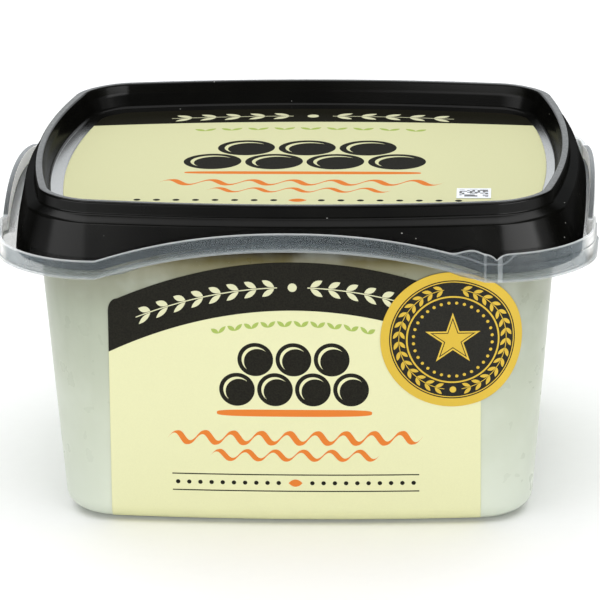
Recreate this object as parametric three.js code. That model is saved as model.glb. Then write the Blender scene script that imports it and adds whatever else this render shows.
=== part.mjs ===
// A shut, squarish tub of fresh cheese in brine. A milky plastic tub widens upwards to a wavy
// ledge, a clear tear-off collar stands on the edge of that ledge, and a black lid with a sunken
// top sits inside the collar. Two labels and two stickers lie on it.
// Millimetres, +Z up. The front, with the large label, faces -Y. The origin is at the middle of
// the base, on the surface that the tub stands on.
import * as THREE from "three";

// Outlines seen from above. halfX and halfY reach the straight sides where they meet a corner,
// corner is the corner radius, and bowX and bowY are how far the middle of each side bulges.
const BASE_OUTLINE = { halfX: 50.1, halfY: 46.7, corner: 10.3, bowX: 1.2, bowY: 2.8 };
const MOUTH_OUTLINE = { halfX: 54.1, halfY: 50.7, corner: 16.5, bowX: 1.2, bowY: 2.8 };
const RIM_OUTLINE = { halfX: 52.6, halfY: 49.0, corner: 9.6, bowX: 6.0, bowY: 4.9 };
const SKIRT_OUTLINE = { halfX: 59.3, halfY: 52.7, corner: 15.6, bowX: 3.0, bowY: 3.2 };
const COLLAR_OUTLINE = { halfX: 61.9, halfY: 54.5, corner: 18.0, bowX: 3.2, bowY: 3.7 };

// The tub: its solid body holds the brine and the cheese, up to just under the lid.
const WALL_FOOT_Z = 4.5; // where the rounded bottom edge becomes the straight wall
const WALL_MOUTH_Z = 54.8; // the height at which the wall has MOUTH_OUTLINE
const FOOT_INSET = 6.4;
const FOOT_STEPS = 4;
const FOOT_RING_WIDTH = 5;
const BASE_RECESS = 1;
const BODY_TOP_Z = 65.4;
const BODY_TOP_INSET = 1.6; // the filled body narrows above the ledge, inside the lid's skirt
const LEDGE_THICKNESS = 0.9;

// The wave that the ledge, the collar and the lid's skirt follow: low at the corners, and
// highest in the middle of each side.
const LEDGE_LOW_Z = 57.5;
const WAVE_FRONT = { rise: 6.6, reach: 42.6, power: 2.2 };
const WAVE_SIDE = { rise: 5.4, reach: 37.7, power: 2 };

// The collar. Its two wings, in the middle of the short sides, stand further in.
const COLLAR_HEIGHT = 3.9;
const COLLAR_THICKNESS = 0.7;
const COLLAR_LIP = 0.35;
const COLLAR_LIP_HEIGHT = 0.5;
const WING_HALF_LENGTH = 29.5;
const WING_SET_IN = 1.0;
const WING_BLEND = 1.2;
// The pull tab on the collar's front right, and the V notch where the tearing starts.
const NOTCH_X = 42.8;
const NOTCH_HALF_WIDTH = 2.2;
const TAB_BUMP_X = 37.5;
const TAB_BUMP_HALF_WIDTH = 5;
const TAB_BUMP_HEIGHT = 1.9;
const TAB_HEIGHT = 2.1;
const TAB_BLEND = 3;

// The lid.
const LID_TOP_Z = 72.8;
const LID_THICKNESS = 1.1;
const RIM_WIDTH = 1.8;
const RIM_ROUND = 0.4;
const RIM_WALL_HEIGHT = 2.7;
const SHOULDER_OUT = 2.0;
const SHOULDER_DROP = 1.2;
const PANEL_DEPTH = 5.8;
const PANEL_INSET = 3.0;
const SKIRT_CLEARANCE = 1.2; // above the ledge

// Labels and stickers.
const LABEL_GAP = 0.3;
const LABEL_THICKNESS = 0.3;
const LID_LABEL_INSET = 5.8;
const FRONT_LABEL = { halfWidth: 39.5, bottom: 0.8, sideTop: 51.0, archTop: 60.4, corner: 2 };
const AWARD = { along: 33.6, z: 43.1, radius: 15.25 };
const CODE_STICKER = { x: 37.7, y: -23.5, width: 7.4, depth: 7.6 };

const CLEAR_GAP = 0.3;
const SIDE_STEPS = 14;
const CORNER_STEPS = 9;
const COLLAR_SIDE_STEPS = 20;

function material(color, roughness, opacity = 1) {
  return new THREE.MeshStandardMaterial({
    color,
    roughness,
    metalness: 0,
    opacity,
    transparent: opacity < 1,
  });
}

const MILKY_PLASTIC = material(0xc9cdbd, 0.35);
const CLEAR_PLASTIC = material(0xdfe4e2, 0.2, 0.4);
const BLACK_PLASTIC = material(0x161614, 0.25);
const CREAM_PAPER = material(0xe6e6b4, 0.5);
const GOLD_FOIL = material(0xe0bc48, 0.35);
const WHITE_PAPER = material(0xe4e8ec, 0.6);

// Steps run round an outline from 0 to 8: the front side, the front right corner, the right
// side and so on, with the fraction as the way along that piece.
function evenSteps(sideSteps, cornerSteps) {
  const steps = [];
  for (let piece = 0; piece < 8; piece += 1) {
    const count = piece % 2 ? cornerSteps : sideSteps;
    for (let i = 0; i < count; i += 1) steps.push(piece + i / count);
  }
  return steps;
}

function offset(outline, distance) {
  return {
    ...outline,
    halfX: outline.halfX + distance,
    halfY: outline.halfY + distance,
    corner: Math.max(outline.corner + distance, 1),
  };
}

function between(low, high, t) {
  const mixed = {};
  for (const key of Object.keys(low)) mixed[key] = low[key] + (high[key] - low[key]) * t;
  return mixed;
}

function outlinePoint({ halfX, halfY, corner, bowX, bowY }, step) {
  const piece = Math.floor(step);
  const quarter = Math.floor(piece / 2);
  const t = step - piece;
  const turned = quarter % 2 === 1;
  const alongHalf = (turned ? halfY : halfX) - corner;
  const outHalf = (turned ? halfX : halfY) - corner;
  const angle = (t * Math.PI) / 2;
  const along = piece % 2 ? alongHalf + corner * Math.sin(angle) : alongHalf * (2 * t - 1);
  const out = piece % 2 ? outHalf + corner * Math.cos(angle) : outHalf + corner;
  const [x, y] = [
    [along, -out],
    [out, along],
    [-along, out],
    [-out, -along],
  ][quarter];
  return {
    x: x + (x / halfX) * bowX * (1 - (y / halfY) ** 2),
    y: y + (y / halfY) * bowY * (1 - (x / halfX) ** 2),
  };
}

function lobe(distance, { rise, reach, power }) {
  return rise * Math.max(0, 1 - (Math.abs(distance) / reach) ** power);
}

// The ledge is level from the wall to its edge, so its height depends on the step alone.
function ledgeZ(step) {
  const { x, y } = outlinePoint(COLLAR_OUTLINE, step);
  return LEDGE_LOW_Z + lobe(x, WAVE_FRONT) + lobe(y, WAVE_SIDE);
}

function aboveLedge(rise) {
  return (step) => ledgeZ(step) + rise;
}

function ring(steps, outline, height) {
  return steps.map((step) => {
    const { x, y } = outlinePoint(outline, step);
    return [x, y, typeof height === "number" ? height : height(step)];
  });
}

function middle(points) {
  const sum = points.reduce((s, p) => s.map((v, i) => v + p[i]), [0, 0, 0]);
  return sum.map((v) => v / points.length);
}

// Skins a solid over rings that run counterclockwise seen from the last one. The two end rings
// are filled, or joined to each other where the solid is itself a ring.
function loft(rings, joined = false) {
  const count = rings[0].length;
  const points = rings.flat();
  const faces = [];
  const bands = joined ? rings.length : rings.length - 1;
  for (let r = 0; r < bands; r += 1) {
    const low = r * count;
    const high = ((r + 1) % rings.length) * count;
    for (let i = 0; i < count; i += 1) {
      const next = (i + 1) % count;
      faces.push(low + i, low + next, high + next);
      faces.push(low + i, high + next, high + i);
    }
  }
  if (!joined) {
    const top = (rings.length - 1) * count;
    const bottomCentre = points.push(middle(rings[0])) - 1;
    const topCentre = points.push(middle(rings.at(-1))) - 1;
    for (let i = 0; i < count; i += 1) {
      const next = (i + 1) % count;
      faces.push(bottomCentre, next, i);
      faces.push(topCentre, top + i, top + next);
    }
  }
  const geometry = new THREE.BufferGeometry();
  geometry.setAttribute("position", new THREE.Float32BufferAttribute(points.flat(), 3));
  geometry.setIndex(faces);
  geometry.computeVertexNormals();
  return geometry;
}

function named(name, geometry, surface) {
  const mesh = new THREE.Mesh(geometry, surface);
  mesh.name = name;
  return mesh;
}

function wallOutline(z) {
  return between(BASE_OUTLINE, MOUTH_OUTLINE, (z - WALL_FOOT_Z) / (WALL_MOUTH_Z - WALL_FOOT_Z));
}

// The wall below WALL_FOOT_Z curls under to the foot in a quarter of an ellipse.
function footInset(z) {
  const drop = Math.max(0, 1 - z / WALL_FOOT_Z);
  return FOOT_INSET * (1 - Math.sqrt(1 - drop * drop));
}

// A ring on the wall at a height that may change round the tub.
function wallRing(steps, height) {
  return steps.map((step) => {
    const z = height(step);
    const { x, y } = outlinePoint(wallOutline(z), step);
    return [x, y, z];
  });
}

// The tub body with its foot, its wall and the wavy ledge, filled up to BODY_TOP_Z.
function tubGeometry() {
  const steps = evenSteps(SIDE_STEPS, CORNER_STEPS);
  const footInner = offset(BASE_OUTLINE, -FOOT_INSET - FOOT_RING_WIDTH);
  const rings = [
    ring(steps, offset(footInner, -BASE_RECESS), BASE_RECESS),
    ring(steps, footInner, 0),
  ];
  for (let i = 0; i < FOOT_STEPS; i += 1) {
    const angle = (i / FOOT_STEPS) * (Math.PI / 2);
    const z = WALL_FOOT_Z * (1 - Math.cos(angle));
    const inset = FOOT_INSET * (1 - Math.sin(angle));
    rings.push(ring(steps, offset(BASE_OUTLINE, -inset), z));
  }
  const ledgeEdge = offset(COLLAR_OUTLINE, -COLLAR_THICKNESS - CLEAR_GAP - WING_SET_IN);
  rings.push(
    ring(steps, BASE_OUTLINE, WALL_FOOT_Z),
    wallRing(steps, ledgeZ),
    ring(steps, ledgeEdge, ledgeZ),
    ring(steps, ledgeEdge, aboveLedge(LEDGE_THICKNESS)),
    wallRing(steps, aboveLedge(LEDGE_THICKNESS)),
    ring(steps, offset(wallOutline(BODY_TOP_Z), -BODY_TOP_INSET), BODY_TOP_Z),
  );
  return loft(rings);
}

function smooth(t) {
  const clamped = Math.min(1, Math.max(0, t));
  return clamped * clamped * (3 - 2 * clamped);
}

// 1 on the long front and back runs of the collar, 0 on its two wings.
function outerRun(y) {
  return smooth((Math.abs(y) - WING_HALF_LENGTH) / WING_BLEND);
}

// How much higher than the plain collar the pull tab stands at a point of the front edge.
function tabRise(x, y) {
  if (y > 0 || x < TAB_BUMP_X - TAB_BUMP_HALF_WIDTH) return 0;
  const bump = Math.cos(((x - TAB_BUMP_X) / TAB_BUMP_HALF_WIDTH) * (Math.PI / 2)) ** 2;
  if (x < TAB_BUMP_X) return TAB_BUMP_HEIGHT * bump;
  const plateau = x < NOTCH_X ? TAB_BUMP_HEIGHT : TAB_HEIGHT;
  const notch = Math.min(1, Math.abs(x - NOTCH_X) / NOTCH_HALF_WIDTH) ** 0.8;
  const end = smooth((-y - WING_HALF_LENGTH) / TAB_BLEND);
  return plateau * notch * end;
}

// The collar, a thin standing band with a small lip round its bottom edge.
function collarGeometry() {
  const steps = evenSteps(COLLAR_SIDE_STEPS, CORNER_STEPS);
  const piece = (x) => {
    const straight = COLLAR_OUTLINE.halfX - COLLAR_OUTLINE.corner;
    return (x / straight + 1) / 2;
  };
  for (const x of [35, 36.5, 38, 41.5, 42.2, NOTCH_X, 43.4]) steps.push(piece(x));
  for (const t of [0.03, 0.06, 0.09]) steps.push(1 + t);
  steps.sort((a, b) => a - b);
  const at = (out, rise) =>
    steps.map((step) => {
      const plain = outlinePoint(COLLAR_OUTLINE, step);
      const setIn = WING_SET_IN * (1 - outerRun(plain.y));
      const { x, y } = outlinePoint(offset(COLLAR_OUTLINE, out - setIn), step);
      return [x, y, ledgeZ(step) + rise(plain.x, plain.y)];
    });
  const top = (x, y) => COLLAR_HEIGHT + tabRise(x, y);
  return loft(
    [
      at(-COLLAR_THICKNESS, () => 0),
      at(COLLAR_LIP, () => 0),
      at(COLLAR_LIP, () => COLLAR_LIP_HEIGHT),
      at(0, () => COLLAR_LIP_HEIGHT * 2),
      at(0, top),
      at(-COLLAR_THICKNESS, top),
    ],
    true,
  );
}

// The lid, a thin shell: sunken panel, raised rim, sloping shoulder and a flared skirt whose
// bottom edge follows the ledge.
function lidGeometry() {
  const steps = evenSteps(SIDE_STEPS, CORNER_STEPS);
  const panelZ = LID_TOP_Z - PANEL_DEPTH;
  const rimFootZ = LID_TOP_Z - RIM_WALL_HEIGHT;
  const shoulderZ = rimFootZ - SHOULDER_DROP;
  const shoulder = offset(RIM_OUTLINE, SHOULDER_OUT);
  const t = LID_THICKNESS;
  const skirtFoot = aboveLedge(SKIRT_CLEARANCE);
  return loft([
    ring(steps, offset(RIM_OUTLINE, -PANEL_INSET), panelZ - t),
    ring(steps, offset(RIM_OUTLINE, -t), rimFootZ - t / 2),
    ring(steps, offset(shoulder, -t), shoulderZ - t / 2),
    ring(steps, offset(SKIRT_OUTLINE, -t), skirtFoot),
    ring(steps, SKIRT_OUTLINE, skirtFoot),
    ring(steps, shoulder, shoulderZ),
    ring(steps, RIM_OUTLINE, rimFootZ),
    ring(steps, RIM_OUTLINE, LID_TOP_Z - RIM_ROUND),
    ring(steps, offset(RIM_OUTLINE, -RIM_ROUND), LID_TOP_Z),
    ring(steps, offset(RIM_OUTLINE, -RIM_WIDTH), LID_TOP_Z),
    ring(steps, offset(RIM_OUTLINE, -PANEL_INSET), panelZ),
  ]);
}

// A thin flat sheet with the given outline, lying on the lid's panel.
function flatSheet(outerRing, z) {
  const inner = outerRing.map(([x, y]) => [x, y, z]);
  return loft([inner, inner.map(([x, y]) => [x, y, z + LABEL_THICKNESS])]);
}

const panelLabelZ = LID_TOP_Z - PANEL_DEPTH + LABEL_GAP;

function lidLabelGeometry() {
  const steps = evenSteps(SIDE_STEPS, CORNER_STEPS);
  return flatSheet(ring(steps, offset(RIM_OUTLINE, -LID_LABEL_INSET), 0), panelLabelZ);
}

function codeStickerGeometry() {
  const { x, y, width, depth } = CODE_STICKER;
  const corners = [
    [x - width / 2, y - depth / 2],
    [x + width / 2, y - depth / 2],
    [x + width / 2, y + depth / 2],
    [x - width / 2, y + depth / 2],
  ];
  return flatSheet(corners, panelLabelZ + LABEL_THICKNESS + LABEL_GAP);
}

// A point on the front wall: along is the distance from the front's middle, measured on the
// surface, so that a label wraps round the corner, and lift is how far it stands off the wall.
function frontPoint(along, z, lift) {
  const wall = offset(wallOutline(Math.max(z, WALL_FOOT_Z)), -footInset(z) + lift);
  const straight = wall.halfX - wall.corner;
  const distance = Math.abs(along);
  const step = distance <= straight ? 0 : 1 + (distance - straight) / (wall.corner * Math.PI / 2);
  const onFront = { x: distance, y: -wall.halfY - wall.bowY * (1 - (distance / wall.halfX) ** 2) };
  const { x, y } = step ? outlinePoint(wall, step) : onFront;
  return [Math.sign(along) * x, y, z];
}

// A sheet stuck on the front wall, filled towards the middle so that it follows the wall. The
// steps are closer near its edge, where the label curls under with the foot.
function frontSheet(outline, centre, lift) {
  const shares = [0.2, 0.4, 0.6, 0.8, 0.88, 0.94, 0.97, 1];
  const shrunk = (share, height) =>
    outline.map(([along, z]) =>
      frontPoint(
        centre[0] + (along - centre[0]) * share,
        centre[1] + (z - centre[1]) * share,
        height,
      ),
    );
  const back = shares.map((share) => shrunk(share, lift));
  const front = shares.map((share) => shrunk(share, lift + LABEL_THICKNESS)).reverse();
  return loft([...back, ...front]);
}

// The front label: straight sides and bottom, and an arched top with rounded ends. The points
// of its sides are closer together at the foot.
function frontLabelOutline() {
  const { halfWidth, bottom, sideTop, archTop, corner } = FRONT_LABEL;
  const across = 12;
  const up = 10;
  const sideZ = (i) => bottom + (sideTop - corner - bottom) * (i / up) ** 1.7;
  const archZ = (along) => archTop - (archTop - sideTop) * (along / halfWidth) ** 2;
  const points = [];
  for (let i = 0; i < across; i += 1) {
    points.push([halfWidth * ((2 * i) / across - 1), bottom]);
  }
  for (let i = 0; i < up; i += 1) {
    points.push([halfWidth, sideZ(i)]);
  }
  points.push([halfWidth, sideTop - corner], [halfWidth - corner * 0.3, sideTop - corner * 0.3]);
  const inner = halfWidth - corner;
  for (let i = 0; i <= across; i += 1) {
    const along = inner * (1 - (2 * i) / across);
    points.push([along, archZ(along)]);
  }
  points.push([-halfWidth + corner * 0.3, sideTop - corner * 0.3]);
  for (let i = 0; i < up; i += 1) {
    points.push([-halfWidth, sideZ(up - i)]);
  }
  return points;
}

function frontLabelGeometry() {
  const centre = [0, (FRONT_LABEL.bottom + FRONT_LABEL.archTop) / 2];
  return frontSheet(frontLabelOutline(), centre, LABEL_GAP);
}

function awardGeometry() {
  const sides = 40;
  const outline = Array.from({ length: sides }, (_, i) => {
    const angle = (i / sides) * Math.PI * 2;
    return [AWARD.along + AWARD.radius * Math.cos(angle), AWARD.z + AWARD.radius * Math.sin(angle)];
  });
  return frontSheet(outline, [AWARD.along, AWARD.z], 2 * LABEL_GAP + LABEL_THICKNESS);
}

const tub = new THREE.Group();
tub.add(named("tub", tubGeometry(), MILKY_PLASTIC));
tub.add(named("tear_collar", collarGeometry(), CLEAR_PLASTIC));
tub.add(named("front_label", frontLabelGeometry(), CREAM_PAPER));
tub.add(named("award_sticker", awardGeometry(), GOLD_FOIL));

const lid = new THREE.Group();
lid.add(named("lid", lidGeometry(), BLACK_PLASTIC));
lid.add(named("lid_label", lidLabelGeometry(), CREAM_PAPER));
lid.add(named("code_sticker", codeStickerGeometry(), WHITE_PAPER));

const pack = new THREE.Group();
pack.add(tub, lid);

export default pack;
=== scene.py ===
"""A shut, squarish tub of fresh cheese in brine, dressed for a studio picture.

The tub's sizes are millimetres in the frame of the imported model: +Z up, the front label faces
-Y. The camera, the floor and the lights are placed in metres.
"""

import math

import bpy
import numpy as np
from mathutils import Euler, Matrix, Vector


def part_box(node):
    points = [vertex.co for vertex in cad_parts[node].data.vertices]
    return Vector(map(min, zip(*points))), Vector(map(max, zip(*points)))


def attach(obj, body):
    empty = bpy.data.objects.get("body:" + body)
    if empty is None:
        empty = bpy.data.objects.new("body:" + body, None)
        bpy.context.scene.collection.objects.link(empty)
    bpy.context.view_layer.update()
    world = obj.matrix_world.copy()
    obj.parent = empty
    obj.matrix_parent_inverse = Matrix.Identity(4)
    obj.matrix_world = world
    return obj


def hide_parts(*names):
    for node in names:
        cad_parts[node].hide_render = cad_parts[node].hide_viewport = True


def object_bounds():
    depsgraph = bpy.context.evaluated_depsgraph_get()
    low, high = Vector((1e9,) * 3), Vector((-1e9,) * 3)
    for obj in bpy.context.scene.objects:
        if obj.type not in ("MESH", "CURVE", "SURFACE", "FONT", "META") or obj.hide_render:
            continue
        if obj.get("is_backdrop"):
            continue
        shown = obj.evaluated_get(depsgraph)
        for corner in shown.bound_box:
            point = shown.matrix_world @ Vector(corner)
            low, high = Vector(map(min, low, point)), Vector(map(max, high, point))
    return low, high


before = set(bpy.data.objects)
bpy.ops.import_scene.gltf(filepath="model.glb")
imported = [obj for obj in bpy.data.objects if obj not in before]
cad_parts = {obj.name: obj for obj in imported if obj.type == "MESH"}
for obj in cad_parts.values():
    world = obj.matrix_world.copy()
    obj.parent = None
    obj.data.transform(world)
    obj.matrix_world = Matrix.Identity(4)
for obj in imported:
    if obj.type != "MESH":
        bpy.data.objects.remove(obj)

cad_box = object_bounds()

MM = 0.001

# ---------------------------------------------------------------------------------------------
# The camera: a long lens in front of the tub, a little above it and to its right.

LENS = 242.2
CAMERA_PLACE = (0.04566, -0.85996, 0.30468)
CAMERA_DOWN = 17.356
CAMERA_TURN = 3.127
CAMERA_ROLL = -0.683

camera = bpy.data.objects.new("camera", bpy.data.cameras.new("camera"))
camera.data.lens = LENS
camera.data.sensor_width = 36
aim = Euler((math.radians(90 - CAMERA_DOWN), 0, math.radians(CAMERA_TURN))).to_matrix().to_4x4()
camera.matrix_world = (
    Matrix.Translation(CAMERA_PLACE) @ aim @ Matrix.Rotation(math.radians(CAMERA_ROLL), 4, "Z")
)
bpy.context.scene.collection.objects.link(camera)
bpy.context.scene.camera = camera

# ---------------------------------------------------------------------------------------------
# The tub's body: one moulding of thin milky plastic, wider at the mouth than at the foot, with
# bowed sides and a rounded bottom edge. The brine and the cheese show through it as paler
# clouds. It darkens towards the top, partly for the air under the lid and partly as painted
# shade under the ledge and the lid.


def sizes(half_x, half_y, corner, bow_x, bow_y):
    """A rounded rectangle seen from above whose sides bulge by the two bows in their middle."""
    return np.array([half_x, half_y, corner, bow_x, bow_y])


def offset(outline, distance):
    """An outline moved out all round by a distance, or in where the distance is negative."""
    moved = outline + np.asarray(distance)[..., None] * np.array([1, 1, 1, 0, 0])
    moved[..., 2] = np.maximum(moved[..., 2], 1)
    return moved


def between(low, high, share):
    """The outline at a share of the way from the low one to the high one."""
    return low + (high - low) * np.asarray(share)[..., None]


def outline_xy(outline, step):
    """Points on an outline. Steps run from 0 to 8: the front side, its right corner, and so on."""
    step = np.asarray(step, float)
    half_x, half_y, corner, bow_x, bow_y = np.moveaxis(
        np.broadcast_to(outline, step.shape + (5,)), -1, 0
    )
    piece = np.floor(step).astype(int)
    quarter = piece // 2
    part = step - piece
    turned = quarter % 2 == 1
    bend = piece % 2 == 1
    angle = part * math.pi / 2
    straight = np.where(turned, half_y, half_x) - corner
    reach = np.where(turned, half_x, half_y) - corner
    along = np.where(bend, straight + corner * np.sin(angle), straight * (2 * part - 1))
    out = reach + corner * np.where(bend, np.cos(angle), 1)
    x = np.choose(quarter, [along, out, -along, -out])
    y = np.choose(quarter, [-out, along, out, -along])
    bulge_x = x / half_x * bow_x * (1 - (y / half_y) ** 2)
    bulge_y = y / half_y * bow_y * (1 - (x / half_x) ** 2)
    return x + bulge_x, y + bulge_y


def even_steps(side, corner):
    """Steps round an outline: so many for each of its sides and so many for each corner."""
    counts = [corner if piece % 2 else side for piece in range(8)]
    return np.concatenate([piece + np.arange(n) / n for piece, n in enumerate(counts)])


def ring(outline, height, steps):
    """The points of an outline in space, at one height or at a height for each step."""
    x, y = outline_xy(outline, steps)
    return np.stack([x, y, np.broadcast_to(height, x.shape)], axis=1)


def mesh_piece(name, points, faces, material):
    """A smooth-shaded object from points in millimetres, which rides on the tub."""
    mesh = bpy.data.meshes.new(name)
    mesh.from_pydata((points * MM).tolist(), [], faces)
    mesh.materials.append(material)
    mesh.shade_smooth()
    piece = bpy.data.objects.new(name, mesh)
    bpy.context.scene.collection.objects.link(piece)
    piece.modifiers.new("even_shading", "WEIGHTED_NORMAL").keep_sharp = True
    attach(piece, "root")
    return piece


def loft(name, rings, material, joined=False):
    """Skins a solid over rings, and fills the two end rings or joins them to each other."""
    rings = np.array(rings)
    levels, count = rings.shape[:2]
    faces = []
    for level in range(levels if joined else levels - 1):
        low = level * count
        high = (level + 1) % levels * count
        for i in range(count):
            after = (i + 1) % count
            faces.append((low + i, low + after, high + after, high + i))
    if not joined:
        faces.append(tuple(range(count))[::-1])
        faces.append(tuple(range((levels - 1) * count, levels * count)))
    return mesh_piece(name, rings.reshape(-1, 3), faces, material)


def srgb(red, green, blue):
    """A colour given as screen values from 0 to 255."""
    shares = [c / 255 for c in (red, green, blue)]
    return *(c / 12.92 if c < 0.04045 else ((c + 0.055) / 1.055) ** 2.4 for c in shares), 1


class Value:
    """A number or vector in a material. Python's operators on it add Math nodes."""

    def __init__(self, finish, socket):
        self.finish = finish
        self.socket = socket

    def math(self, operation, *values):
        return self.finish.node("Math", {"operation": operation}, values)

    def __add__(self, other):
        return self.math("ADD", self, other)

    __radd__ = __add__

    def __sub__(self, other):
        return self.math("SUBTRACT", self, other)

    def __rsub__(self, other):
        return self.math("SUBTRACT", other, self)

    def __mul__(self, other):
        return self.math("MULTIPLY", self, other)

    __rmul__ = __mul__

    def __truediv__(self, other):
        return self.math("DIVIDE", self, other)

    def __pow__(self, other):
        return self.math("POWER", self, other)

    def __mod__(self, other):
        return self.math("FLOORED_MODULO", self, other)

    def __abs__(self):
        return self.math("ABSOLUTE", self)

    def __lt__(self, other):
        return self.math("LESS_THAN", self, other)

    def __gt__(self, other):
        return self.math("GREATER_THAN", self, other)

    def __or__(self, other):
        return self.math("MAXIMUM", self, other)

    def floor(self):
        return self.math("FLOOR", self)

    def sine(self):
        return self.math("SINE", self)

    def cosine(self):
        return self.math("COSINE", self)

    def root(self):
        return self.math("SQRT", self)


class Finish:
    """A material, put together from Python on its Principled shader."""

    def __init__(self, name, **sockets):
        self.material = bpy.data.materials.new(name)
        self.material.use_nodes = True
        self.tree = self.material.node_tree
        self.shader = self.tree.nodes["Principled BSDF"]
        for socket, value in sockets.items():
            self.set(socket.replace("_", " "), value)

    def set(self, socket, value):
        self.fill(self.shader.inputs[socket], value)

    def fill(self, socket, value):
        if isinstance(value, Value):
            self.tree.links.new(value.socket, socket)
        else:
            socket.default_value = value

    def node(self, kind, settings, values, output=0):
        """Adds a node: its settings first, then the values or links of its sockets. The setting
        called stops is a ramp's list of places and colours."""
        made = self.tree.nodes.new("ShaderNode" + kind)
        for name, setting in settings.items():
            if name != "stops":
                setattr(made, name, setting)
        for index, (place, colour) in enumerate(settings.get("stops", [])):
            points = made.color_ramp.elements
            point = points[index] if index < 2 else points.new(place)
            point.position = place
            point.color = colour
        pairs = values.items() if isinstance(values, dict) else enumerate(values)
        for key, value in pairs:
            self.fill(made.inputs[key], value)
        return Value(self, made.outputs[output])

    def place(self, output="Object"):
        return self.node("TexCoord", {}, {}, output)

    def axis(self, vector, letter):
        return self.node("SeparateXYZ", {}, [vector], letter)

    def noise(self, vector, size, detail=2.0, roughness=0.5):
        """Smooth noise from 0 to 1 whose clouds are about size millimetres wide."""
        values = {"Vector": vector, "Scale": 1 / (size * MM), "Detail": detail}
        return self.node("TexNoise", {}, {**values, "Roughness": roughness})

    def cells(self, vector, size, output):
        """Scattered cells about size millimetres wide: the distance from a cell's middle, or a
        colour for each cell."""
        values = {"Vector": vector, "Scale": 1 / (size * MM), "Randomness": 1.0}
        return self.node("TexVoronoi", {}, values, output)

    def ramp(self, value, low, high, top=1.0):
        """Rises softly from 0 to top while value goes from low to high."""
        settings = {"interpolation_type": "SMOOTHSTEP"}
        return self.node("MapRange", settings, [value, low, high, 0.0, top])

    def mix(self, share, first, second):
        return self.node("Mix", {"data_type": "RGBA"}, {0: share, 6: first, 7: second}, 2)

    def bump(self, height, depth):
        """Relief of about depth millimetres, from a height of 0 to 1."""
        values = {"Strength": 1.0, "Distance": depth * MM, "Height": height}
        self.set("Normal", self.node("Bump", {}, values))


BASE = sizes(50.1, 46.7, 10.3, 1.2, 2.8)
MOUTH = sizes(54.1, 50.7, 16.5, 1.2, 2.8)
WALL_FOOT = 4.5
WALL_MOUTH = 54.8
WALL_TOP = 62
WALL_LEVELS = 24
FOOT_INSET = 6.4
FOOT_LEVELS = 14
FOOT_RING = 5.0
FOOT_RING_EDGE = ((-1.6, 1), (-0.7, 1), (-0.2, 0.4), (0.3, 0))
BASE_RECESS = 1.0
BODY_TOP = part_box("tub")[1].z / MM
BODY_TOP_INSET = 1.6
BODY_STEPS = even_steps(48, 24)


def wall(height):
    """The wall's outline at a height. It widens evenly from the foot to the mouth."""
    return between(BASE, MOUTH, (np.asarray(height) - WALL_FOOT) / (WALL_MOUTH - WALL_FOOT))


def body_rings():
    """From the recessed base over the foot's ring and the rounded edge, up the wall to the top.
    The inner edge of the foot's ring is a list of places and shares of the recess."""
    inner = offset(BASE, -FOOT_INSET - FOOT_RING)
    for out, share in FOOT_RING_EDGE:
        yield ring(offset(inner, out), BASE_RECESS * share, BODY_STEPS)
    for angle in np.linspace(0, math.pi / 2, FOOT_LEVELS)[:-1]:
        inset = FOOT_INSET * (1 - math.sin(angle))
        yield ring(offset(BASE, -inset), WALL_FOOT * (1 - math.cos(angle)), BODY_STEPS)
    for height in np.linspace(WALL_FOOT, WALL_TOP, WALL_LEVELS):
        yield ring(wall(height), height, BODY_STEPS)
    yield ring(offset(wall(BODY_TOP), -BODY_TOP_INSET), BODY_TOP, BODY_STEPS)


def milky_plastic():
    """Milky plastic over brine, with pale clouds of cheese behind it, faint streaks and, near the
    top, drops on its inside. It darkens towards the top, partly where the tub is empty under the
    lid and partly as painted shade under the ledge and the lid."""
    finish = Finish("milky_plastic", Specular_IOR_Level=0.35)
    place = finish.place()
    clouds = finish.noise(place, size=20, detail=3)
    lumps = finish.noise(place, size=6, detail=3)
    upright = finish.node("VectorMath", {"operation": "MULTIPLY"}, [place, (1, 1, 0.12)])
    streaks = finish.noise(upright, size=2.2, detail=2)
    height = finish.axis(place, "Z") / (BODY_TOP * MM) + (lumps - 0.5) * 0.02
    # Darker towards the top: partly the empty space under the lid, partly painted shade under the
    # ledge and lid.
    fill_and_painted_shade_colours = [
        (0.05, srgb(202, 209, 194)),
        (0.4, srgb(185, 192, 174)),
        (0.72, srgb(162, 169, 151)),
        (0.85, srgb(136, 139, 120)),
        (0.905, srgb(114, 111, 82)),
        (0.93, srgb(78, 70, 24)),
        (0.955, srgb(36, 30, 8)),
    ]
    colour = finish.node("ValToRGB", {"stops": fill_and_painted_shade_colours}, [height])
    pale = finish.ramp(clouds * 0.7 + lumps * 0.3, 0.42, 0.64, top=0.22)
    colour = finish.mix(pale, colour, srgb(214, 220, 210))
    dull = finish.ramp(streaks, 0.4, 0.75, top=0.08) * finish.ramp(height, 0.3, 0.8)
    colour = finish.mix(dull, colour, srgb(110, 116, 100))
    drop_distance = finish.cells(place, 0.8, "Distance")
    drops = (drop_distance < lumps * 0.3 - 0.1) * finish.ramp(height, 0.8, 0.9)
    finish.set("Base Color", finish.mix(drops * 0.25, colour, srgb(206, 210, 200)))
    finish.set("Roughness", 0.24 + lumps * 0.1)
    finish.bump(lumps, 0.015)
    return finish.material


tub_body = loft("tub_body", list(body_rings()), milky_plastic())
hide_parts("tub")

# ---------------------------------------------------------------------------------------------
# The ledge: a thin flange round the mouth, clearer than the body that it is moulded with. It is
# low at the corners and rises in a wave to the middle of each side. A wave is its rise, its
# reach to either side and the power of its curve.

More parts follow.
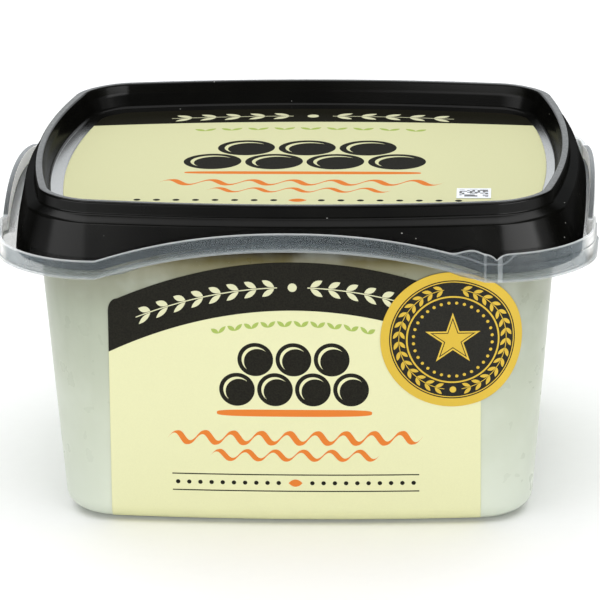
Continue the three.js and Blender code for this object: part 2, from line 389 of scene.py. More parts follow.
COLLAR = sizes(61.9, 54.5, 18.0, 3.2, 3.7)
COLLAR_THICKNESS = 0.7
LEDGE_LOW = 57.5
LEDGE_THICKNESS = 0.9
LEDGE_INTO_WALL = 0.4
LEDGE_GAP = 0.04
WAVE_FRONT = (6.6, 40.7, 2.15)
WAVE_MIDDLE_X = -0.5
WAVE_SIDE = (5.4, 37.7, 2.0)
RIGHT_DROP = 0.36
RIGHT_DROP_START = 34.0
RIGHT_DROP_BLEND = 10.0
WING_HALF_LENGTH = 29.5
WING_FRONT_BLEND = 1.2
WING_BACK_START = 33.0
WING_BACK_BLEND = 12.0
WING_SET_IN_LEFT = 1.0
WING_SET_IN_RIGHT = 1.4
COLLAR_HEIGHT = 3.9
SHORT_SIDE_X = (60.5, 62.5)
WING_FACES_X = (63.4, 63.9)
WING_STEP = 1.1
WING_END_REACH = 0.4
WING_END_STEPS = 11
COLLAR_STEPS = even_steps(150, 40)
NOTCH_X = 42.8
RIBS_X = (NOTCH_X - 2.4, NOTCH_X + 0.7)
RIB_CLOUD_HALF_WIDTHS = (0.3, 0.5)
RIDGE_HEIGHT = COLLAR_HEIGHT - 0.1
RIDGE_HALF_WIDTH = 0.14
RIDGE_CURL_X = (NOTCH_X + 1.2, NOTCH_X + 4.6)
RIDGE_CURL = 2.2


def lobe(distance, wave):
    """The height of a wave at a distance from its middle."""
    rise, reach, power = wave
    return rise * np.maximum(0, 1 - (np.abs(distance) / reach) ** power)


def smooth(t):
    """0 below 0, 1 above 1 and a soft step between them."""
    t = np.clip(t, 0, 1)
    return t * t * (3 - 2 * t)


def ledge_z(steps):
    """The ledge's wave. Its front right corner, under the pull tab, lies a little lower."""
    x, y = outline_xy(COLLAR, steps)
    wave = lobe(x - WAVE_MIDDLE_X, WAVE_FRONT) + lobe(y, WAVE_SIDE)
    drop = smooth((x - RIGHT_DROP_START) / RIGHT_DROP_BLEND) * smooth(-y / WING_HALF_LENGTH)
    return LEDGE_LOW + wave - RIGHT_DROP * drop


def on_wing(steps):
    """1 on the collar's two wings, which are on the short sides, and 0 elsewhere. A wing starts
    with a step at the front and runs out slowly at the back."""
    _, y = outline_xy(COLLAR, steps)
    past_front = (-y - WING_HALF_LENGTH) / WING_FRONT_BLEND
    past_back = (y - WING_BACK_START) / WING_BACK_BLEND
    return 1 - smooth(np.where(y < 0, past_front, past_back))


def collar_outline(steps, out=0.0):
    """The collar's outline, with its left and right wings set in."""
    x, _ = outline_xy(COLLAR, steps)
    set_in = np.where(x < 0, WING_SET_IN_LEFT, WING_SET_IN_RIGHT)
    return offset(COLLAR, out - set_in * on_wing(steps))


def collar_steps():
    """Even steps, with more of them at the wings' ends, where the collar steps in."""
    _, half_y, corner, _, _ = COLLAR
    straight = half_y - corner
    blend = np.linspace(-WING_END_REACH, WING_FRONT_BLEND + WING_END_REACH, WING_END_STEPS)
    ends = WING_HALF_LENGTH + blend
    along = (np.concatenate([-ends, ends]) / straight + 1) / 2
    return np.unique(np.concatenate([COLLAR_STEPS, 2 + along, 6 + along]))


def clear_plastic():
    """Clear, slightly milky plastic. It clouds where it is seen edge on, along its top edge, at
    the tab's ridge and ribs, and in the thick lip at its foot, and there it also carries a painted
    highlight. The wings are cloudier. Their inner faces carry painted light near the top edge,
    turning to painted shade further down, and a painted glow; their outer faces carry painted
    shade. The ledge is clear, but for the strip between a wing and the lid, which is a darker,
    less clear sheet of painted shade."""
    finish = Finish("clear_plastic", Specular_IOR_Level=0.0, Coat_Roughness=0.35)
    finish.set("Subsurface Weight", 1.0)
    finish.set("Subsurface Scale", 2 * MM)
    finish.set("Subsurface Radius", (1, 1, 1))
    place = finish.place()
    edges = finish.node("UVMap", {"uv_map": "from_edges_mm"}, {})
    below_top = finish.axis(edges, "X")
    above_foot = finish.axis(edges, "Y")
    top_edge = 1 - finish.ramp(below_top, 0.12, 0.4)
    lip = 1 - finish.ramp(above_foot, 0.45, 1.0)
    x, y = (finish.axis(place, letter) / MM for letter in "XY")
    curl = finish.ramp(x, *RIDGE_CURL_X, top=RIDGE_CURL)
    ridge = (abs(above_foot - curl - RIDGE_HEIGHT) < RIDGE_HALF_WIDTH) * (below_top > 0.3)
    left_rib, right_rib = (
        abs(x - rib) < half_width for rib, half_width in zip(RIBS_X, RIB_CLOUD_HALF_WIDTHS)
    )
    ribs = (left_rib * 0.6 | right_rib) * (y < 0)
    lying = finish.ramp(abs(finish.axis(finish.place("Normal"), "Z")), 0.4, 0.8)
    side = finish.ramp(abs(x), *SHORT_SIDE_X)
    wing = side * (1 - lying)
    along_wing = 1 - finish.ramp(abs(y), WING_HALF_LENGTH - 1, WING_HALF_LENGTH + 0.5)
    _, half_y, _, bow_x, _ = COLLAR
    unbowed = abs(x) + y * y * (bow_x / half_y**2)
    unstepped = unbowed - (1 - along_wing) * WING_STEP
    wing_outside = wing * finish.ramp(unstepped, *WING_FACES_X)
    lengthwise = finish.node("VectorMath", {"operation": "MULTIPLY"}, [place, (1, 0.06, 1)])
    streaks = finish.ramp(finish.noise(lengthwise, size=0.9, detail=2), 0.35, 0.65)
    clouds = finish.noise(place, size=9, detail=2)
    # Painted highlight: the top edge, lip, ridge and ribs are painted brighter.
    painted_highlights = (top_edge | lip * 0.45) | (ridge * 0.5 | ribs * 0.55)
    haze = finish.mix(lying, srgb(155, 166, 172), srgb(108, 116, 120))
    haze = finish.mix(painted_highlights, haze, srgb(220, 226, 228))
    # Painted shade: the ledge strip between a wing and the lid is painted dark and made less
    # clear.
    painted_shade_by_lid = side * lying * along_wing
    haze = finish.mix(painted_shade_by_lid, haze, srgb(64, 68, 70))
    # Painted light and shade on the wings' inner faces: pale near the top edge, darker further
    # down.
    deep = finish.ramp(below_top, 2.2, 4.8)
    wing_inside_painted_light_and_shade = finish.mix(deep, srgb(250, 250, 245), srgb(140, 140, 136))
    haze = finish.mix(wing * (0.85 + streaks * 0.15), haze, wing_inside_painted_light_and_shade)
    # Painted shade: the wings' outer faces are painted a darker grey.
    haze = finish.mix(wing_outside * (1 - streaks * 0.2), haze, srgb(146, 150, 150))
    # The haze colour now holds the painted highlight, painted light and painted shade mixed in
    # above.
    finish.set("Base Color", haze)
    # Painted glow: the wings' inner faces give off a little light near their top edge.
    painted_glow = wing * along_wing * (1 - wing_outside) * (1 - deep)
    finish.set("Emission Color", finish.mix(painted_glow, srgb(0, 0, 0), srgb(250, 250, 244)))
    finish.set("Emission Strength", 0.2)
    finish.set("Roughness", 0.4 + wing * 0.3)
    finish.set("Coat Weight", 0.6 - wing * 0.5)
    facing = finish.node("LayerWeight", {}, {"Blend": 0.5}, "Facing")
    cover = 0.09 + clouds * 0.08 + (facing * facing) * 0.6
    cover = cover + top_edge * (1 - wing * 0.7) * 0.25 + lip * 0.1 + (ridge + ribs) * 0.12
    cover = cover + wing * (0.45 + streaks * 0.15) + painted_shade_by_lid * 0.3
    clear = finish.node("BsdfTransparent", {}, {"Color": (0.98, 0.98, 0.97, 1)})
    surface = finish.node("MixShader", {}, [cover, clear, Value(finish, finish.shader.outputs[0])])
    finish.fill(finish.tree.nodes["Material Output"].inputs["Surface"], surface)
    return finish.material


def give_map(piece, name, points):
    """Gives a piece a UV map from two numbers for each of its vertices."""
    loops = np.zeros(len(piece.data.loops), int)
    piece.data.loops.foreach_get("vertex_index", loops)
    layer = piece.data.uv_layers.new(name=name)
    layer.data.foreach_set("uv", np.asarray(points)[loops].astype(np.float32).ravel())


def ledge_rings(steps):
    """A flat ring, from just inside the wall to just short of the collar."""
    height = ledge_z(steps)
    inner = offset(wall(height), -LEDGE_INTO_WALL)
    outer = collar_outline(steps, -COLLAR_THICKNESS - LEDGE_GAP)
    yield ring(inner, height, steps)
    yield ring(outer, height, steps)
    yield ring(outer, height + LEDGE_THICKNESS, steps)
    yield ring(inner, height + LEDGE_THICKNESS, steps)


CLEAR_PLASTIC = clear_plastic()
ledge = loft("tub_ledge", list(ledge_rings(collar_steps())), CLEAR_PLASTIC, joined=True)
give_map(ledge, "from_edges_mm", np.full((len(ledge.data.vertices), 2), COLLAR_HEIGHT / 2))
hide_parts("tub")

# ---------------------------------------------------------------------------------------------
# The tear-off collar: a clear strip that stands round the ledge's edge, over the lid's foot. At
# the front right it has a thinner pull tab, and a V notch between two ribs where it tears.

COLLAR_LIP = 0.35
COLLAR_LIP_HEIGHT = 0.55
COLLAR_LIP_TOP = 0.95
NOTCH_SPREAD = 1.0
NOTCH_DEPTH = 1.33
TAB_BUMP_X = 38.8
TAB_BUMP_HALF_WIDTH = 6.0
TAB_HEIGHT = 2.2
TAB_BLEND = 3.0
TAB_THINNER = 0.22
TAB_FOOT = COLLAR_HEIGHT - 0.3
TAB_FOOT_BLEND = 0.25
TAB_THIN_RISE = 0.5
TAB_STEP = 0.12
TAB_CORNER = 0.12
TAB_CORNER_STEP = 0.005
RIB_OUT = 0.18
RIB_HALF_WIDTH = 0.35
LONGEST_CUT = 0.45


def soften(rings, cuts, arc=6):
    """Rounds a profile: each ring's edge is cut back by its cut and bridged by a curve of arc
    pieces. No cut is longer than a share of the nearer face."""
    made = []
    for i, (edge, cut) in enumerate(zip(rings, cuts)):
        if not cut:
            made.append(edge)
            continue
        sides = [rings[i - 1] - edge, rings[(i + 1) % len(rings)] - edge]
        lengths = [np.linalg.norm(side, axis=1, keepdims=True) + 1e-9 for side in sides]
        back = np.minimum(cut, LONGEST_CUT * np.minimum(*lengths))
        start, end = (edge + side / length * back for side, length in zip(sides, lengths))
        for t in np.linspace(0, 1, arc + 1):
            made.append((1 - t) ** 2 * start + 2 * t * (1 - t) * edge + t * t * end)
    return made


def tab_rise(x, y):
    """How much higher than the plain strip the pull tab stands. It starts with a soft bump, has
    the notch after it, and runs round the corner to the front end of the wing."""
    bump = np.cos(np.clip((x - TAB_BUMP_X) / TAB_BUMP_HALF_WIDTH, -1, 1) * math.pi / 2) ** 2
    notch = NOTCH_DEPTH * np.exp(-((np.abs(x - NOTCH_X) / NOTCH_SPREAD) ** 1.2))
    end = smooth((-y - WING_HALF_LENGTH) / TAB_BLEND)
    rise = np.where(x < TAB_BUMP_X, TAB_HEIGHT * bump, (TAB_HEIGHT - notch) * end)
    return np.where(y > 0, 0, rise)


def collar_rings(steps):
    """The strip's profile, from its foot up its outside to its top, with the cuts that round
    its edges."""
    x, y = outline_xy(COLLAR, steps)
    foot = ledge_z(steps)
    rise = tab_rise(x, y)
    on_tab = smooth(rise / TAB_THIN_RISE)
    ribs = sum(np.exp(-(((x - rib) / RIB_HALF_WIDTH) ** 2)) for rib in RIBS_X) * (y < 0)

    def band(out, height):
        return ring(collar_outline(steps, out), foot + height, steps)

    strip = RIB_OUT * ribs + COLLAR_LIP * on_wing(steps)
    top = COLLAR_HEIGHT + rise
    thin = strip - TAB_THINNER * on_tab
    yield band(-COLLAR_THICKNESS, 0.0), 0.15
    yield band(COLLAR_LIP, 0.0), 0.15
    yield band(COLLAR_LIP, COLLAR_LIP_HEIGHT), 0.15
    yield band(strip, COLLAR_LIP_TOP), 0.2
    yield band(strip, TAB_FOOT), 0.06
    yield band(thin, TAB_FOOT + TAB_FOOT_BLEND), 0.06
    yield band(thin, top), 0.25
    yield band(-COLLAR_THICKNESS, top), 0.25


def tab_steps():
    """The collar's steps, with more of them at the tab's bump, the ribs and the notch, and in
    the first part of the corner after them."""
    half_x, _, corner, _, _ = COLLAR
    straight = half_x - corner
    x = np.arange(TAB_BUMP_X - TAB_BUMP_HALF_WIDTH, straight, TAB_STEP)
    turn = 1 + np.arange(0, TAB_CORNER, TAB_CORNER_STEP)
    return np.unique(np.concatenate([collar_steps(), (x / straight + 1) / 2, turn]))


def from_edges(rings, steps):
    """How far each point lies below the collar's top edge and above its foot."""
    x, y = outline_xy(COLLAR, steps)
    above_foot = np.array([points[:, 2] for points in rings]) - ledge_z(steps)
    below_top = COLLAR_HEIGHT + tab_rise(x, y) - above_foot
    return np.column_stack([below_top.ravel(), above_foot.ravel()])


profile, cuts = zip(*collar_rings(tab_steps()))
profile = soften(profile, cuts, arc=4)
collar = loft("collar", profile, CLEAR_PLASTIC, joined=True)
give_map(collar, "from_edges_mm", from_edges(profile, tab_steps()))
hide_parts("tear_collar")

# ---------------------------------------------------------------------------------------------
# The lid: a thin black moulding with a raised rim round a sunken panel, a sloping shoulder and
# a skirt that flares out over the tub and is cut to the ledge's wave.

RIM = sizes(52.6, 49.0, 9.6, 6.0, 4.9)
SKIRT = sizes(59.3, 52.7, 15.6, 3.0, 3.2)
LID_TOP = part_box("lid")[1].z / MM
LID_THICKNESS = 1.1
RIM_WIDTH = 1.8
RIM_LEAN = 0.1
RIM_WALL_HEIGHT = 2.7
RIM_INNER_LEAN = 0.3
RIM_INNER_HEIGHT = 2.3
SHOULDER_OUT = 2.0
SHOULDER_DROP = 1.2
PANEL_DEPTH = 5.8
PANEL_INSET = 3.0
PANEL_TOP = LID_TOP - PANEL_DEPTH
PANEL_DISH = 0.3
PANEL_DISH_WIDTH = 2.5
PANEL_MIDDLE = (0.6, 0.6, 1)
SKIRT_CLEARANCE = 1.2
SKIRT_PRESSED_IN = 0.8
LID_STEPS = even_steps(84, 36)


def lid_rings(steps):
    """The lid's profile, from the panel's underside out to the skirt's edge, up to the rim and
    in to the sunken panel, with the cuts that round its edges."""
    rim_foot = LID_TOP - RIM_WALL_HEIGHT
    shoulder_foot = rim_foot - SHOULDER_DROP
    skirt_foot = ledge_z(steps) + SKIRT_CLEARANCE
    under = LID_THICKNESS

    def band(out, height, outline=RIM):
        return ring(offset(outline, out), height, steps)

    def skirt_band(out):
        """The skirt's edge, which its left wing presses in a little."""
        points = band(out, skirt_foot, SKIRT)
        left = np.maximum(-points[:, 0], 0) / SKIRT[0]
        points[:, 0] += SKIRT_PRESSED_IN * left
        return points

    yield band(-PANEL_INSET - 1, PANEL_TOP - under), 0
    yield band(-under, rim_foot - under / 2), 0.3
    yield band(SHOULDER_OUT - under, shoulder_foot - under / 2), 0.3
    yield skirt_band(-under), 0.1
    yield skirt_band(0), 0.3
    yield band(SHOULDER_OUT, shoulder_foot), 0.5
    yield band(0, rim_foot), 0.35
    yield band(-RIM_LEAN, LID_TOP), 0.55
    yield band(-RIM_WIDTH, LID_TOP), 0.45
    yield band(-RIM_WIDTH - RIM_INNER_LEAN, LID_TOP - RIM_INNER_HEIGHT), 0.4
    yield band(-PANEL_INSET + 0.1, PANEL_TOP + PANEL_DISH + 0.4), 0.3
    yield band(-PANEL_INSET - 0.3, PANEL_TOP + PANEL_DISH), 0.15
    yield band(-PANEL_INSET - 0.3 - PANEL_DISH_WIDTH, PANEL_TOP), 0.3
    yield band(-PANEL_INSET - 5, PANEL_TOP) * PANEL_MIDDLE, 0


def black_plastic():
    """Black plastic: glossy on top, brushed by other packs on the rim, duller where the mould
    leaves a steep side, with dust and a little lint."""
    finish = Finish("black_plastic", Specular_IOR_Level=0.0, Coat_Roughness=0.2)
    place = finish.place()
    normal = finish.place("Normal")
    x, y = (finish.axis(place, letter) for letter in "XY")
    normal_x, normal_y, normal_z = (finish.axis(normal, letter) for letter in "XYZ")
    up = finish.ramp(normal_z, 0.9, 0.97)
    level = (normal_x * normal_x + normal_y * normal_y).root() | 0.05
    sideways = finish.ramp(abs(normal_x) / level, 0.66, 0.84)
    inward = normal_x * x + normal_y * y < 0
    rim = finish.ramp(finish.axis(place, "Z"), (LID_TOP - 1) * MM, (LID_TOP - 0.3) * MM)
    wear = finish.noise(place, size=14, detail=4)
    haze = finish.noise(place, size=0.5, detail=2)
    brushed = finish.noise(place, size=0.9, detail=4, roughness=0.7)
    speck_distance = finish.cells(place, 2.6, "Distance")
    speck_kind = finish.axis(finish.cells(place, 2.6, "Color"), "X")
    specks = (speck_distance < 0.02 + haze * 0.07) * (speck_kind > 0.86)
    black = finish.mix(finish.ramp(wear, 0.4, 0.7), srgb(7, 7, 6), srgb(12, 12, 10))
    finish.set("Base Color", finish.mix(specks, black, srgb(150, 150, 146)))
    finish.set("Roughness", 0.4 + wear * 0.2)
    corners = finish.ramp(abs(normal_x) / level, 0.06, 0.2)
    outer = 0.15 + corners * 0.22 + finish.ramp(normal_z, 0.4, 0.75) * 0.08
    outer = outer * (1 - sideways * 0.95)
    sides = outer + inward * (0.27 - outer)
    top = 1 - rim * (0.3 + brushed * 0.5)
    finish.set("Coat Weight", (sides + up * (top - sides)) * (1 - specks * 0.8))
    finish.bump(wear * 0.9 + haze * 0.1, 0.015)
    return finish.material


profile, cuts = zip(*lid_rings(LID_STEPS))
lid = loft("lid_shell", soften(profile, cuts), black_plastic())
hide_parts("lid")

# ---------------------------------------------------------------------------------------------
# The lid's label: a printed sheet that lies in the sunken panel. A black band with garlands
# crosses its back, and the cream field has sprouts, a pile of cheese balls, waves and beads.

PAPER = 0.12
PAPER_GAP = 0.02
SHEET_RINGS = 28
INK_BLACK = srgb(23, 22, 17)
INK_ORANGE = srgb(214, 120, 48)
INK_GREEN = srgb(158, 178, 90)
INK_PALE = srgb(210, 210, 174)


def sheet(name, edge, centre, lay, lift, material):
    """A thin sheet. edge is its outline in the sheet's own millimetres, and lay carries points
    of the sheet to the surface that it lies on. The same millimetres are its print map. Its
    rings lie closer together toward the edge."""
    shares = np.append(1 - (1 - np.linspace(0.02, 0.97, SHEET_RINGS)) ** 1.6, 1)
    flat = [centre + (edge - centre) * share for share in shares]
    flat = flat + flat[::-1]
    lifts = [lift] * len(shares) + [lift + PAPER] * len(shares)
    piece = loft(name, [lay(points, height) for points, height in zip(flat, lifts)], material)
    give_map(piece, "print_mm", np.concatenate(flat))
    return piece


class Print(Finish):
    """Inks on paper. Its masks are worked out from a point of the sheet, in millimetres."""

    def __init__(self, name, **sockets):
        super().__init__(name, **sockets)
        self.point = self.node("UVMap", {"uv_map": "print_mm"}, {})
        self.x = self.axis(self.point, "X")
        self.y = self.axis(self.point, "Y")

    def disc(self, centre, radius):
        values = [self.point, (*centre, 0)]
        return self.node("VectorMath", {"operation": "DISTANCE"}, values, "Value") < radius

    def pill(self, along, across, half_length, half_height):
        """A shape between a rectangle and an ellipse."""
        return (abs(along) / half_length) ** 4 + (abs(across) / half_height) ** 4 < 1

    def row(self, along, start, end, pitch):
        """Splits a row into cells: the place within a cell, and a mask of the whole row."""
        within = ((along - start) / pitch % 1 - 0.5) * pitch
        return within, (along > start) * (along < end)

    def leaf(self, along, across, length, width, angle):
        """A leaf between two arcs, pointing along angle."""
        turn = math.radians(angle)
        reach = (along * math.cos(turn) + across * math.sin(turn)) * (2 / length)
        side = across * math.cos(turn) - along * math.sin(turn)
        return abs(side) < (1 - reach * reach) * (width / 2)

    def garland(self, along, across, start, end, pitch, leaf):
        """A thin stem with pairs of leaves that lean forward along it."""
        within, inside = self.row(along, start, end, pitch)
        above = self.leaf(within, across - leaf * 0.34, leaf, leaf * 0.4, 32)
        below = self.leaf(within, across + leaf * 0.34, leaf, leaf * 0.4, -32)
        stem = abs(across) < leaf * 0.04
        return (above | below | stem) * inside

    def sprouts(self, along, across, start, end, pitch, leaf):
        """A row of sprouts, each of two leaves that spread from one foot."""
        within, inside = self.row(along, start, end, pitch)
        right = self.leaf(within - leaf * 0.36, across, leaf, leaf * 0.42, 40)
        left = self.leaf(within + leaf * 0.36, across, leaf, leaf * 0.42, 140)
        return (right | left) * inside

    def beads(self, along, across, start, end, pitch, radius):
        within, inside = self.row(along, start, end, pitch)
        return (within * within + across * across < radius**2) * inside

    def balls(self, centre, radius):
        """A pile of seven cheese balls, four below and three on top, each with a shine."""
        pile = None
        x0, y0 = centre
        below = [(x, 0) for x in (-3.1, -1.03, 1.03, 3.1)]
        above = [(x, 1.76) for x in (-2.07, 0, 2.07)]
        for x, y in below + above:
            middle = (x0 + x * radius, y0 + y * radius)
            ball = self.disc(middle, radius * 0.97)
            spot = (middle[0] + radius * 0.12, middle[1] - radius * 0.12)
            shine = self.disc(middle, radius * 0.74) * (1 - self.disc(spot, radius * 0.74))
            ball = ball * (1 - shine)
            pile = ball if pile is None else pile | ball
        return pile

    def wave(self, start, end, middle, height, waves, pen):
        """A wavy brush line, broader where it falls, which thins out at both ends."""
        share = (self.x - start) / (end - start)
        phase = share * (waves * 2 * math.pi)
        slope = phase.cosine() * (height * math.pi * waves / (end - start))
        gap = abs(self.y - middle - phase.sine() * (height / 2))
        distance = gap / (slope * slope + 1).root()
        taper = self.ramp(share * (1 - share), -0.01, 0.06)
        return distance < (0.6 - phase.cosine() * 0.4) * taper * (pen / 2)

    def inks(self, paper, *layers):
        """Prints layers of (mask, ink) over the paper, in order."""
        colour = paper
        for mask, ink in layers:
            colour = self.mix(mask, colour, ink)
        return colour

    def paper_surface(self, colour):
        """Gives the print the fine grain of coated paper."""
        place = self.place()
        fibre = self.noise(place, size=0.35, detail=2)
        waves = self.noise(place, size=9, detail=1)
        tone = self.ramp(fibre, 0.3, 0.7, top=0.03)
        self.set("Base Color", self.mix(tone, colour, srgb(130, 130, 104)))
        self.set("Roughness", 0.45 + fibre * 0.1)
        self.bump(fibre * 0.05 + waves * 0.95, 0.05)


LID_LABEL_EDGE = sizes(48.4, 43.4, 6.0, 4.5, 4.6)
LID_LABEL_MIDDLE = (0.55, -0.2)
LID_CREAM = srgb(208, 208, 165)
LID_BAND_X = 4.0
LID_BAND_Y = 36.0
LID_BAND_BEND = 0.0014
LID_ROW_BEND = 0.0025
LID_GARLAND_Y = 41.2
LID_BEADS_Y = -29.5


def lid_print():
    ink = Print("lid_label_print", Specular_IOR_Level=0.004)
    bent = ink.y + ink.x * ink.x * LID_ROW_BEND
    outward = abs(ink.x)
    band = ink.y + (ink.x - LID_BAND_X) ** 2 * LID_BAND_BEND > LID_BAND_Y
    over_garland = bent - LID_GARLAND_Y
    pale = ink.garland(outward, over_garland, start=4.5, end=32.5, pitch=5.6, leaf=4.2)
    pale = pale | ink.disc((0, LID_GARLAND_Y), radius=1.3)
    green = ink.sprouts(ink.x, bent - 30.0, start=-27, end=27, pitch=6.0, leaf=3.2)
    pile = ink.balls((0, 1.6), radius=6.6)
    board = ink.pill(ink.x, ink.y + 7.6, half_length=26.0, half_height=1.1)
    long_wave = ink.wave(start=-31, end=31, middle=-15.5, height=3.6, waves=7, pen=2.0)
    short_wave = ink.wave(start=-20, end=20, middle=-21.5, height=3.0, waves=5, pen=1.6)
    over_beads = ink.y - LID_BEADS_Y
    beads = ink.beads(outward, over_beads, start=3.0, end=36.6, pitch=4.2, radius=0.75)
    middle_bead = ink.leaf(ink.x, over_beads, length=4.0, width=2.6, angle=0)
    ink.paper_surface(
        ink.inks(
            LID_CREAM,
            (band | pile | beads, INK_BLACK),
            (pale, INK_PALE),
            (green, INK_GREEN),
            ((board | long_wave) | (short_wave | middle_bead), INK_ORANGE),
        )
    )
    return ink.material


def on_panel(points, lift):
    return np.column_stack([points, np.full(len(points), PANEL_TOP + lift)])


edge = np.column_stack(outline_xy(LID_LABEL_EDGE, LID_STEPS)) + LID_LABEL_MIDDLE
lid_label = sheet("lid_label_sheet", edge, np.zeros(2), on_panel, PAPER_GAP, lid_print())
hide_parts("lid_label")

# ---------------------------------------------------------------------------------------------
# The code sticker: a small white square with a printed field of dark cells, on the lid's label.

CODE_CENTRE = (37.7, -24.0)
CODE_SIZE = (7.4, 7.6)
CODE_CELLS = 11
CODE_CELLS_PER_ROW = CODE_CELLS * 1.2
CODE_FIELD_HALF = (0.42, 0.36)
CODE_PALE_SHARE = 0.45
CODE_SEED = 3.0


def code_print():
    ink = Print("code_print", Roughness=0.45)
    x = (ink.x - CODE_CENTRE[0]) / CODE_SIZE[0] + 0.5
    y = (ink.y - CODE_CENTRE[1]) / CODE_SIZE[1] + 0.5
    cell_x = (x * CODE_CELLS_PER_ROW).floor()
    cell_y = (y * CODE_CELLS).floor()
    where = ink.node("CombineXYZ", {}, [cell_x, cell_y, CODE_SEED])
    chance = ink.node("TexWhiteNoise", {"noise_dimensions": "3D"}, {"Vector": where})
    dark = chance > CODE_PALE_SHARE
    field = (abs(x - 0.5) < CODE_FIELD_HALF[0]) * (abs(y - 0.5) < CODE_FIELD_HALF[1])
    colour = ink.inks(srgb(228, 232, 238), (dark * field, srgb(34, 34, 38)))
    ink.paper_surface(colour)
    return ink.material


def rectangle(centre, size, per_side=8):
    corners = np.array([(-1, -1), (1, -1), (1, 1), (-1, 1)]) / 2
    share = np.arange(per_side)[:, None] / per_side
    sides = [a + (b - a) * share for a, b in zip(corners, np.roll(corners, -1, axis=0))]
    return np.array(centre) + np.concatenate(sides) * np.array(size)


code_sticker = sheet(
    "code_sticker_sheet",
    rectangle(CODE_CENTRE, CODE_SIZE),
    np.array(CODE_CENTRE),
    on_panel,
    2 * PAPER_GAP + PAPER,
    code_print(),
)
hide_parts("code_sticker")

# ---------------------------------------------------------------------------------------------
# The front label: a sheet with an arched top that follows the bowed front wall and turns a
# little way under at the foot. Its top is a black arch over the cream field.

LABEL_HALF_WIDTH = 39.5
LABEL_LEFT_LEAN = 0.7
LABEL_BOTTOM = 0.8
LABEL_SIDE_TOP = 51.0
LABEL_ARCH_TOP = 60.6
LABEL_CORNER = 2.0
LABEL_ARCH_STEPS = 60
LABEL_CORNER_STEPS = 7
LABEL_SIDE_STEPS = 44
CREAM = srgb(217, 217, 174)
ARCH_INNER_TOP = 49.8
ARCH_BEND = 0.0065
FRONT_GARLAND_Z = 55.0
FRONT_BEADS_Z = 10.2
FRONT_BEADS_END = 26.4


def foot_inset(height):
    """How far the rounded bottom edge draws the wall in at a height."""
    drop = np.clip(1 - np.asarray(height) / WALL_FOOT, 0, 1)
    return FOOT_INSET * (1 - np.sqrt(1 - drop**2))


def on_front(points, lift):
    """Lays points on the front wall and round its corners: their first number runs along the
    surface, the second is the height, and lift is the distance off the wall."""
    along, height = points.T
    outline = offset(wall(np.maximum(height, WALL_FOOT)), lift - foot_inset(height))
    half_x, half_y, corner, _, bow_y = outline.T
    straight = half_x - corner
    reach = np.abs(along)
    step = 1 + np.clip((reach - straight) / (corner * math.pi / 2), 0, 0.999)
    bend_x, bend_y = outline_xy(outline, step)
    flat_y = -half_y - bow_y * (1 - (reach / half_x) ** 2)
    x = np.where(reach <= straight, reach, bend_x)
    y = np.where(reach <= straight, flat_y, bend_y)
    return np.column_stack([np.sign(along) * x, y, height])


def front_label_edge():
    """Counterclockwise from the bottom left: bottom, right side, arch and left side. The steps
    up the sides lie closer together near the foot, where the label turns under."""
    inner = LABEL_HALF_WIDTH - LABEL_CORNER
    arch = np.linspace(inner, -inner, LABEL_ARCH_STEPS)
    drop = (LABEL_ARCH_TOP - LABEL_SIDE_TOP) * (arch / LABEL_HALF_WIDTH) ** 2
    low = LABEL_SIDE_TOP - LABEL_CORNER * 0.9
    turn = np.linspace(0, 1, LABEL_CORNER_STEPS)[1:-1]
    high = LABEL_ARCH_TOP - (LABEL_ARCH_TOP - LABEL_SIDE_TOP) * (inner / LABEL_HALF_WIDTH) ** 2
    corner_x = inner + LABEL_CORNER * np.cos(turn * math.pi / 2)
    corner_z = low + (high - low) * np.sin(turn * math.pi / 2)
    side = LABEL_BOTTOM + (low - LABEL_BOTTOM) * np.linspace(0, 1, LABEL_SIDE_STEPS) ** 1.5
    bottom = np.linspace(-LABEL_HALF_WIDTH, LABEL_HALF_WIDTH, LABEL_ARCH_STEPS)[1:-1]
    edge = np.concatenate(
        [
            np.column_stack([bottom, np.full_like(bottom, LABEL_BOTTOM)]),
            np.column_stack([np.full_like(side, LABEL_HALF_WIDTH), side]),
            np.column_stack([corner_x, corner_z]),
            np.column_stack([arch, LABEL_ARCH_TOP - drop]),
            np.column_stack([-corner_x[::-1], corner_z[::-1]]),
            np.column_stack([np.full_like(side, -LABEL_HALF_WIDTH), side[::-1]]),
        ]
    )
    leftness = np.clip(-edge[:, 0] / LABEL_HALF_WIDTH, 0, 1)
    edge[:, 0] += leftness * LABEL_LEFT_LEAN * (edge[:, 1] / LABEL_SIDE_TOP - 0.4)
    return edge


